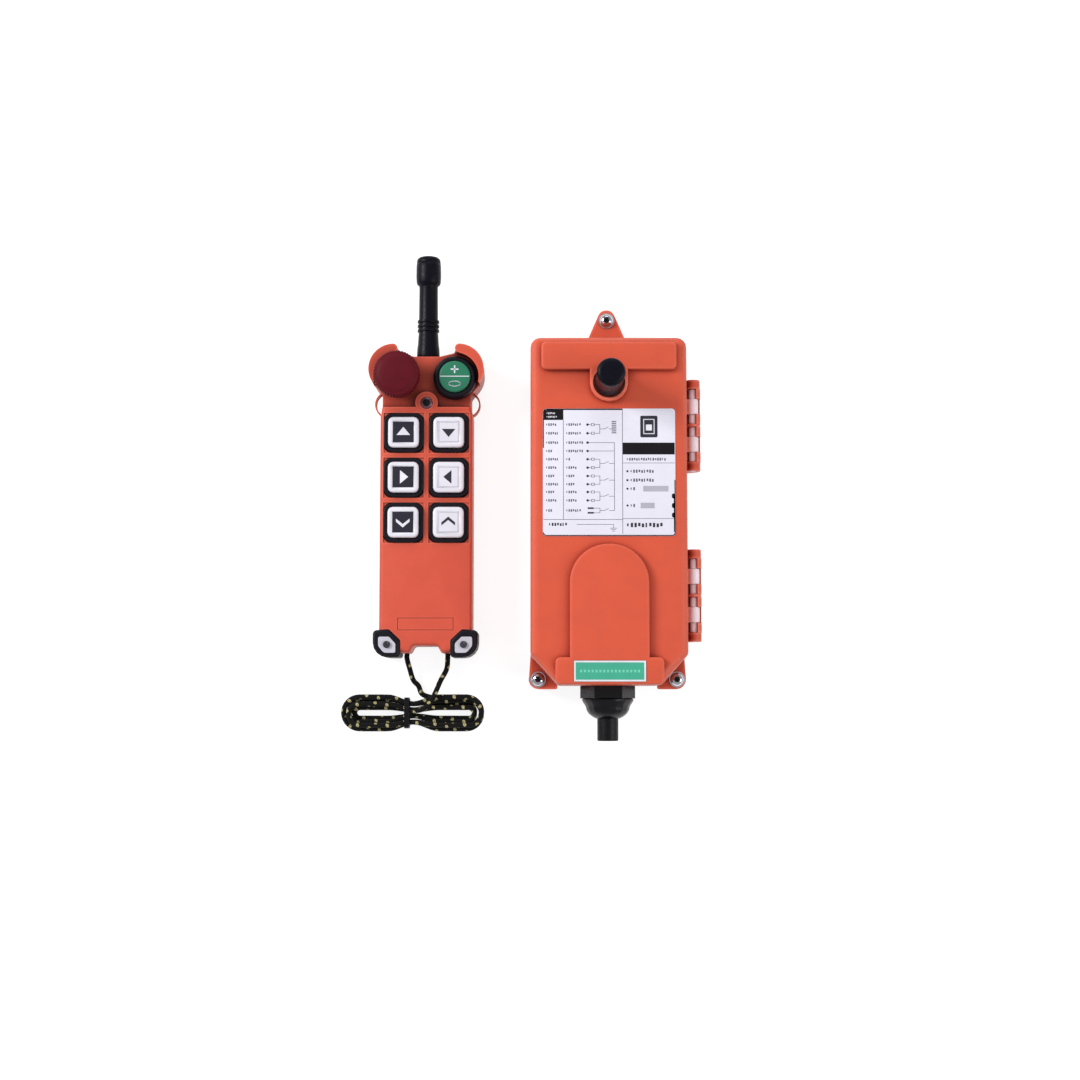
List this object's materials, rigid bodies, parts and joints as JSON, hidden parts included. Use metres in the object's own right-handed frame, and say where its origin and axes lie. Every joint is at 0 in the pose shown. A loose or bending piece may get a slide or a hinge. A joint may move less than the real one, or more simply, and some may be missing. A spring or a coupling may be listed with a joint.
{
  "type": "crane radio remote control",
  "caption": "Hand-held radio transmitter with push buttons, stop mushroom and hanked lanyard, beside its hinged receiver case with stub aerial and cable gland.",
  "frame": {"origin": "bottom centre of the pair without the lanyard: on the surface both devices lie on", "axes": "+X from handset to receiver, +Y towards the handset's aerial, +Z out of the fronts"},
  "size_m": [0.2215, 0.3042, 0.096],
  "materials": {
    "handset_plastic": "satin moulded",
    "receiver_plastic": "satin moulded",
    "rubber": "matte",
    "steel": "plain",
    "chrome_steel": "polished",
    "cell_wrap": "printed sleeve, plain",
    "board": "solder resist",
    "black_plastic": "satin",
    "tin": "tinned",
    "aerial_rubber": "satin",
    "brass": "turned",
    "led": "clear body",
    "lens": "dark tinted",
    "start_green": "satin",
    "stop_red": "satin dark red",
    "cap_white": "smooth",
    "plate_dark": "printed insert",
    "plate_white": "printed insert",
    "plate_metal": "silver",
    "cord": "braided, with light flecks",
    "tie_plastic": "smooth",
    "white_plastic": "smooth",
    "label_white": "printed film",
    "label_green": "printed film",
    "gland_plastic": "satin",
    "cable": "satin sheath",
    "relay_plastic": "satin"
  },
  "bodies": {
    "housing": {"handset_front_shell": "handset_plastic", "handset_rear_shell": "handset_plastic", "handset_seal": "rubber", "battery_door": "handset_plastic", "battery_door_screw": "steel", "battery_cells": "cell_wrap", "battery_contacts": "steel", "handset_board": "board", "key_switches": "black_plastic", "transmitter_module": "tin", "shell_screws": "steel", "whip_aerial": "aerial_rubber", "aerial_socket": "brass", "status_led": "led", "led_lens": "lens", "button_boots": "rubber", "start_ring": "rubber", "stop_collar": "black_plastic", "stop_spring": "steel", "left_bumper": "rubber", "right_bumper": "rubber", "bumper_plates": "plate_metal", "bumper_screws": "steel", "lanyard_left_lead": "cord", "lanyard_hank": "cord", "lanyard_right_lead": "cord", "hank_tie": "tie_plastic", "receiver_base": "receiver_plastic", "cover_seal": "rubber", "hinge_pins": "steel", "gland_body": "gland_plastic", "gland_nut": "gland_plastic", "gland_seal": "rubber", "cable_stub": "cable", "mounting_screws": "chrome_steel", "mounting_buffers": "rubber", "receiver_board": "board", "relays": "relay_plastic", "board_parts": "black_plastic", "board_screws": "steel"},
    "up_key": {"up_button": "cap_white", "up_plate": "plate_dark"},
    "down_key": {"down_button": "cap_white", "down_plate": "plate_white"},
    "east_key": {"east_button": "cap_white", "east_plate": "plate_dark"},
    "west_key": {"west_button": "cap_white", "west_plate": "plate_white"},
    "south_key": {"south_button": "cap_white", "south_plate": "plate_dark"},
    "north_key": {"north_button": "cap_white", "north_plate": "plate_white"},
    "start_key": {"start_button": "start_green"},
    "stop_plunger": {"stop_stem": "black_plastic"},
    "stop_knob": {"stop_head": "stop_red"},
    "cover": {"receiver_cover": "receiver_plastic", "hinge_arms": "white_plastic", "rating_label": "label_white", "supply_label": "label_green", "stub_aerial": "aerial_rubber"}
  },
  "joints": [
    {"name": "up_press", "type": "slide", "parent": "housing", "child": "up_key", "axis": [0, 0, -1], "range_m": [0, 0.002], "stiffness_N_per_m": 400, "springref_m": -0.003},
    {"name": "down_press", "type": "slide", "parent": "housing", "child": "down_key", "axis": [0, 0, -1], "range_m": [0, 0.002], "stiffness_N_per_m": 400, "springref_m": -0.003},
    {"name": "east_press", "type": "slide", "parent": "housing", "child": "east_key", "axis": [0, 0, -1], "range_m": [0, 0.002], "stiffness_N_per_m": 400, "springref_m": -0.003},
    {"name": "west_press", "type": "slide", "parent": "housing", "child": "west_key", "axis": [0, 0, -1], "range_m": [0, 0.002], "stiffness_N_per_m": 400, "springref_m": -0.003},
    {"name": "south_press", "type": "slide", "parent": "housing", "child": "south_key", "axis": [0, 0, -1], "range_m": [0, 0.002], "stiffness_N_per_m": 400, "springref_m": -0.003},
    {"name": "north_press", "type": "slide", "parent": "housing", "child": "north_key", "axis": [0, 0, -1], "range_m": [0, 0.002], "stiffness_N_per_m": 400, "springref_m": -0.003},
    {"name": "start_press", "type": "slide", "parent": "housing", "child": "start_key", "axis": [0, 0, -1], "range_m": [0, 0.002], "stiffness_N_per_m": 400, "springref_m": -0.003},
    {"name": "stop_press", "type": "slide", "parent": "housing", "child": "stop_plunger", "axis": [0, 0, -1], "range_m": [0, 0.004], "stiffness_N_per_m": 600, "springref_m": -0.004, "deforming": ["stop_spring"]},
    {"name": "stop_twist", "type": "hinge", "parent": "stop_plunger", "child": "stop_knob", "pos_m": [-0.08385, 0.072, 0.038], "axis": [0, 0, 1], "range_deg": [0, 45], "stiffness_Nm_per_rad": 0.05, "springref_deg": -2.86},
    {"name": "cover_hinge", "type": "hinge", "parent": "housing", "child": "cover", "pos_m": [0.09775, -0.0118, 0.041], "axis": [0, 1, 0], "range_deg": [0, 90]}
  ]
}
